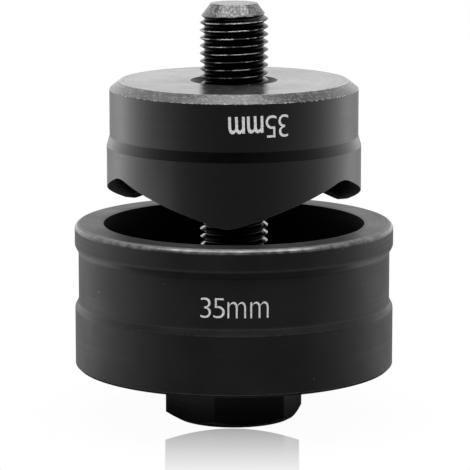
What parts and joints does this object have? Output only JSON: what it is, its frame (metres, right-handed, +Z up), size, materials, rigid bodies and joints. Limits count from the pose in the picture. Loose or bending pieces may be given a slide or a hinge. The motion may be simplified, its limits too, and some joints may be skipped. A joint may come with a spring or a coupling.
{
  "type": "knockout punch",
  "caption": "Knockout punch for sheet metal: a toothed round punch, a cup-shaped die and a hexagon-headed draw screw that pulls the punch into the die to shear a round hole.",
  "frame": {"origin": "centre of the screw head's flat end face, which the part stands on", "axes": "+Z up along the draw screw, from its head to its tip; -Y towards the front tooth of the punch and the size marks"},
  "size_m": [0.044, 0.044, 0.0576],
  "materials": {
    "die_steel": "hardened tool steel, turned, satin black oxide, size mark in white",
    "screw_steel": "alloy steel, rolled thread, oiled black oxide",
    "punch_steel": "hardened tool steel, turned and milled, satin black oxide, size mark in white"
  },
  "bodies": {
    "die": {"die": "die_steel"},
    "draw_screw": {"draw_screw": "screw_steel"},
    "punch": {"punch": "punch_steel"}
  },
  "joints": [
    {"name": "screw_turn", "type": "hinge", "parent": "die", "child": "draw_screw", "pos_m": [0, 0, 0.0037], "axis": [0, 0, 1], "range_deg": [-3062, 4681]},
    {"name": "punch_feed", "type": "slide", "parent": "die", "child": "punch", "axis": [0, 0, 1], "range_m": [-0.01376, 0.009]}
  ],
  "couplings": [
    {"joint": "screw_turn", "follows": "punch_feed", "rad_per_m": -5936.9}
  ]
}
